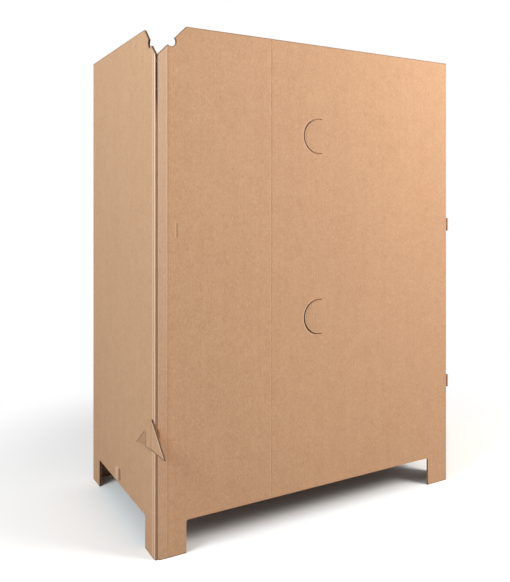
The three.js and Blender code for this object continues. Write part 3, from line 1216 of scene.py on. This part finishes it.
@dataclass
class Studio:
    """Plain pale floor, soft light and the camera.

    Attributes:
        camera_place: where the camera stands.
        camera_turn_deg: its turn about the upright axis.
        focal_mm: its focal length.
        shift_y: its lens shift.
        floor_half: half the side of the floor.
        shadow_reach: distance from the box at which the floor is plain white.
        dome_top: strength of the world's light from above.
        dome_rim: its strength from the horizon.
        floor_bounce: the floor's colour for light that it throws back.
        floor_seen: its colour where the camera sees it.
        lamps: the lamps.
    """

    camera_place: tuple[float, float, float] = (-1.301, -2.164, 1.077)
    camera_turn_deg: float = -29.27
    focal_mm: float = 40.5
    shift_y: float = -0.151
    floor_half: float = 30.0
    shadow_reach: float = 1.7
    dome_top: float = 0.66
    dome_rim: float = 0.13
    floor_bounce: tuple[float, float, float, float] = (0.35, 0.35, 0.35, 1.0)
    floor_seen: tuple[float, float, float, float] = (1.0, 0.975, 0.955, 1.0)
    lamps: tuple[Softbox, ...] = (
        Softbox("key", (1.95, -2.15, 2.5), (0.5, -0.3, 1.3), 1.4, 96.0, (1.0, 0.98, 0.95)),
        Softbox("fill", (-3.4, -0.9, 2.9), (-0.6, 0.0, 1.5), 1.6, 112.0, (0.83, 0.94, 1.0)),
    )

    def build(self) -> None:
        """Sets up camera, floor, world and lamps."""
        self._camera()
        self._floor()
        self._world()
        for lamp in self.lamps:
            lamp.add()
        bpy.context.scene.view_settings.view_transform = "Standard"

    def _camera(self) -> None:
        """Adds the level camera."""
        data = bpy.data.cameras.new("camera")
        data.lens = self.focal_mm
        data.sensor_width = 36.0
        data.shift_y = self.shift_y
        data.clip_end = 200.0
        camera = bpy.data.objects.new("camera", data)
        camera.location = self.camera_place
        camera.rotation_euler = (math.pi / 2, 0.0, math.radians(self.camera_turn_deg))
        bpy.context.scene.collection.objects.link(camera)
        bpy.context.scene.camera = camera

    def _floor(self) -> None:
        """Adds the floor."""
        h = self.floor_half
        mesh = bpy.data.meshes.new("floor")
        mesh.from_pydata([(-h, -h, 0), (h, -h, 0), (h, h, 0), (-h, h, 0)], [], [(0, 1, 2, 3)])
        floor = bpy.data.objects.new("floor", mesh)
        material = bpy.data.materials.new("pale_floor")
        material.use_nodes = True
        tree = material.node_tree
        shader = tree.nodes["Principled BSDF"]
        seen = self._seen(tree)
        color = mixed(tree, seen, self.floor_bounce, self.floor_seen)
        tree.links.new(color.socket, shader.inputs["Base Color"])
        shader.inputs["Roughness"].default_value = 1.0
        shader.inputs["Specular IOR Level"].default_value = 0.0
        place = node(tree, "ShaderNodeTexCoord", {}, {})[3]
        reach = node(tree, "ShaderNodeVectorMath", {"operation": "LENGTH"}, {"Vector": place})[0]
        far = reach.eased(self.shadow_reach * 0.55, self.shadow_reach) * seen
        glow = node(tree, "ShaderNodeEmission", {}, {"Color": (1, 1, 1, 1), "Strength": 1.0})[0]
        values = {0: far, 1: Link(tree, shader.outputs[0]), 2: glow}
        both = node(tree, "ShaderNodeMixShader", {}, values)[0]
        tree.links.new(both.socket, tree.nodes["Material Output"].inputs["Surface"])
        mesh.materials.append(material)
        bpy.context.scene.collection.objects.link(floor)

    @staticmethod
    def _seen(tree: NodeTree) -> Link:
        """1 for camera, glossy and transmission rays."""
        rays = tree.nodes.new("ShaderNodeLightPath")
        names = ("Is Camera Ray", "Is Glossy Ray", "Is Transmission Ray")
        camera, glossy, through = (Link(tree, rays.outputs[name]) for name in names)
        return (camera + glossy + through).above(0.5)

    def _world(self) -> None:
        """Sets a plain soft world, white where it is seen."""
        world = bpy.data.worlds.new("studio")
        bpy.context.scene.world = world
        world.use_nodes = True
        tree = world.node_tree
        back = tree.nodes["Background"]
        seen = self._seen(tree)
        way = node(tree, "ShaderNodeTexCoord", {}, {})[0]
        height = node(tree, "ShaderNodeSeparateXYZ", {}, {"Vector": way})[2]
        dome = height.eased(-0.1, 0.9) * (self.dome_top - self.dome_rim) + self.dome_rim
        strength = seen * (1 - dome) + dome
        back.inputs["Color"].default_value = (1, 1, 1, 1)
        tree.links.new(strength.socket, back.inputs["Strength"])


def main() -> None:
    """Builds the dressed box."""
    logging.basicConfig(level=logging.INFO, format="%(message)s")
    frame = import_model()
    Studio().build()

    sizes = BoxSizes()
    marks = WallMarks(sizes)
    lines = (*marks.slit(), *marks.rib_slot())
    outer = KraftFinish("wall_kraft", sizes, walls=True, creases=marks.creases(), strokes=lines)
    medium = KraftFinish(
        "flute_paper",
        sizes,
        base=(104, 70, 48),
        light=(122, 86, 60),
        dark=(84, 54, 36),
    )
    core = replace(
        medium,
        name="core_paper",
        base=(64, 38, 24),
        light=(76, 48, 32),
        dark=(52, 30, 18),
        lower_tone=(170, 124, 93),
    )
    solids = frame["nodes"]
    for piece in WallSheet(sizes, solids["wall_sheet"]).build(outer, medium, core):
        LOG.info("built %s with %d faces", piece.name, len(piece.data.polygons))

    inner = KraftFinish("inner_kraft", sizes, cut=(92, 60, 40), cut_edges=True)
    lock_lines = (*marks.slit(), *marks.lock())
    # The lock's cut edges are darker than the other inner pieces': partly the board's cut core and
    # partly painted shade along the fin's edges.
    lock = replace(inner, name="lock_kraft", cut=(58, 34, 20), strokes=lock_lines)
    pale = replace(inner, base=(222, 182, 154), light=(234, 198, 172))
    rib = replace(pale, name="rib_kraft", cut_edges=False)
    InnerBoard(solids).dress(inner, lock, rib)


if __name__ == "__main__":
    main()
